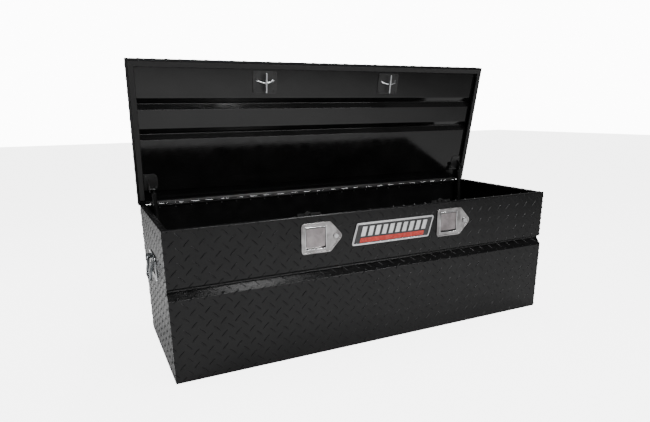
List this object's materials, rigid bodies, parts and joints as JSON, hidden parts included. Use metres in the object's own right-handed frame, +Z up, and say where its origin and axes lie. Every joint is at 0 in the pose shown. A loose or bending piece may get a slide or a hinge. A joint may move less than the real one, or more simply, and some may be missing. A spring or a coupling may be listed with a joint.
{
  "type": "truck tool box",
  "caption": "Long black tread-plate truck tool box with a rear-hinged lid on gas struts, paddle latches, key locks and drop handles on the ends.",
  "frame": {"origin": "middle of the underside, which rests on the truck bed", "axes": "+X along the length to the right seen from the front, the latches face -Y, +Z up"},
  "size_m": [1.5738, 0.547, 1.0065],
  "materials": {
    "tread_black": "black powder coat over raised tread bars, semi-gloss",
    "liner_black": "smooth black gloss powder coat",
    "hinge_black": "black coat, semi-gloss",
    "zinc": "bright zinc-plated steel",
    "stainless": "polished stainless steel",
    "strut_tube": "gloss black cylinder",
    "strut_rod": "black nitrided rod",
    "gasket": "soft black foam seal",
    "badge": "bright plated plate",
    "badge_red": "red enamel",
    "rivet": "blackened pop rivet"
  },
  "bodies": {
    "tub": {"front_panel": "tread_black", "floor_panel": "tread_black", "rear_panel": "tread_black", "end_panel_left": "tread_black", "end_panel_right": "tread_black", "hinge_leaf_tub": "hinge_black", "hinge_pin": "zinc", "hinge_rivets_tub": "rivet", "latch_plate_left": "stainless", "latch_plate_right": "stainless", "paddle_pin_left": "zinc", "paddle_pin_right": "zinc", "latch_housing_left": "hinge_black", "latch_housing_right": "hinge_black", "catch_pin_left": "hinge_black", "catch_pin_right": "hinge_black", "lock_sleeve_left": "stainless", "lock_sleeve_right": "stainless", "latch_nuts": "zinc", "badge_plate": "badge", "badge_bar": "badge_red", "handle_plate_left": "stainless", "handle_plate_right": "stainless", "handle_rivets_left": "zinc", "handle_rivets_right": "zinc", "strut_bracket_tub_left": "hinge_black", "strut_bracket_tub_right": "hinge_black", "bracket_rivets_left": "rivet", "bracket_rivets_right": "rivet"},
    "lid": {"lid_skin": "tread_black", "lid_liner": "liner_black", "hinge_leaf_lid": "hinge_black", "hinge_rivets_lid": "rivet", "lid_gasket": "gasket", "striker_plate_left": "hinge_black", "striker_plate_right": "hinge_black", "striker_hoop_left": "zinc", "striker_hoop_right": "zinc", "striker_rod_left": "zinc", "striker_rod_right": "zinc", "striker_bolts": "hinge_black", "strut_bracket_lid_left": "hinge_black", "strut_bracket_lid_right": "hinge_black", "bracket_rivets_lid": "rivet"},
    "paddle_left": {"latch_paddle_left": "stainless"},
    "catch_left": {"latch_catch_left": "hinge_black"},
    "plug_left": {"lock_plug_left": "stainless", "lock_cam_left": "zinc"},
    "bail_left": {"handle_bail_left": "stainless"},
    "strut_rod_left": {"strut_rod_left": "strut_rod"},
    "strut_tube_left": {"strut_tube_left": "strut_tube"},
    "paddle_right": {"latch_paddle_right": "stainless"},
    "catch_right": {"latch_catch_right": "hinge_black"},
    "plug_right": {"lock_plug_right": "stainless", "lock_cam_right": "zinc"},
    "bail_right": {"handle_bail_right": "stainless"},
    "strut_rod_right": {"strut_rod_right": "strut_rod"},
    "strut_tube_right": {"strut_tube_right": "strut_tube"}
  },
  "joints": [
    {"name": "lid_hinge", "type": "hinge", "parent": "tub", "child": "lid", "pos_m": [0, 0.2575, 0.4985], "axis": [1, 0, 0], "range_deg": [0, 79.8], "stiffness_Nm_per_rad": 8, "springref_deg": -68.75},
    {"name": "paddle_left_pull", "type": "hinge", "parent": "tub", "child": "paddle_left", "pos_m": [-0.268, -0.248, 0.447], "axis": [-1, 0, 0], "range_deg": [0, 16], "stiffness_Nm_per_rad": 1, "springref_deg": -17.19},
    {"name": "catch_left_swing", "type": "hinge", "parent": "tub", "child": "catch_left", "pos_m": [-0.278, -0.21, 0.45], "axis": [0, -1, 0], "range_deg": [0, 27.3]},
    {"name": "key_left_turn", "type": "hinge", "parent": "tub", "child": "plug_left", "pos_m": [-0.192, -0.253, 0.418], "axis": [0, 1, 0], "range_deg": [0, 90]},
    {"name": "bail_left_swing", "type": "hinge", "parent": "tub", "child": "bail_left", "pos_m": [-0.772, 0, 0.346], "axis": [0, 1, 0], "range_deg": [0, 80]},
    {"name": "strut_left_tilt", "type": "hinge", "parent": "tub", "child": "strut_rod_left", "pos_m": [-0.709, 0.19, 0.15], "axis": [1, 0, 0], "range_deg": [0, 3.25]},
    {"name": "strut_left_slide", "type": "slide", "parent": "strut_rod_left", "child": "strut_tube_left", "axis": [0, 0.0798, 0.9968], "range_m": [-0.08085, 0]},
    {"name": "paddle_right_pull", "type": "hinge", "parent": "tub", "child": "paddle_right", "pos_m": [0.279, -0.248, 0.447], "axis": [-1, 0, 0], "range_deg": [0, 16], "stiffness_Nm_per_rad": 1, "springref_deg": -17.19},
    {"name": "catch_right_swing", "type": "hinge", "parent": "tub", "child": "catch_right", "pos_m": [0.269, -0.21, 0.45], "axis": [0, -1, 0], "range_deg": [0, 27.3]},
    {"name": "key_right_turn", "type": "hinge", "parent": "tub", "child": "plug_right", "pos_m": [0.355, -0.253, 0.418], "axis": [0, 1, 0], "range_deg": [0, 90]},
    {"name": "bail_right_swing", "type": "hinge", "parent": "tub", "child": "bail_right", "pos_m": [0.772, 0, 0.346], "axis": [0, -1, 0], "range_deg": [0, 80]},
    {"name": "strut_right_tilt", "type": "hinge", "parent": "tub", "child": "strut_rod_right", "pos_m": [0.709, 0.19, 0.15], "axis": [1, 0, 0], "range_deg": [0, 3.25]},
    {"name": "strut_right_slide", "type": "slide", "parent": "strut_rod_right", "child": "strut_tube_right", "axis": [0, 0.0798, 0.9968], "range_m": [-0.08085, 0]}
  ],
  "couplings": [
    {"joint": "catch_left_swing", "follows": "paddle_left_pull", "ratio": 1.7},
    {"joint": "strut_left_tilt", "follows": "lid_hinge", "ratio": 0.04071},
    {"joint": "strut_left_slide", "follows": "lid_hinge", "m_per_rad": -0.058033},
    {"joint": "catch_right_swing", "follows": "paddle_right_pull", "ratio": 1.7},
    {"joint": "strut_right_tilt", "follows": "lid_hinge", "ratio": 0.04071},
    {"joint": "strut_right_slide", "follows": "lid_hinge", "m_per_rad": -0.058033}
  ]
}
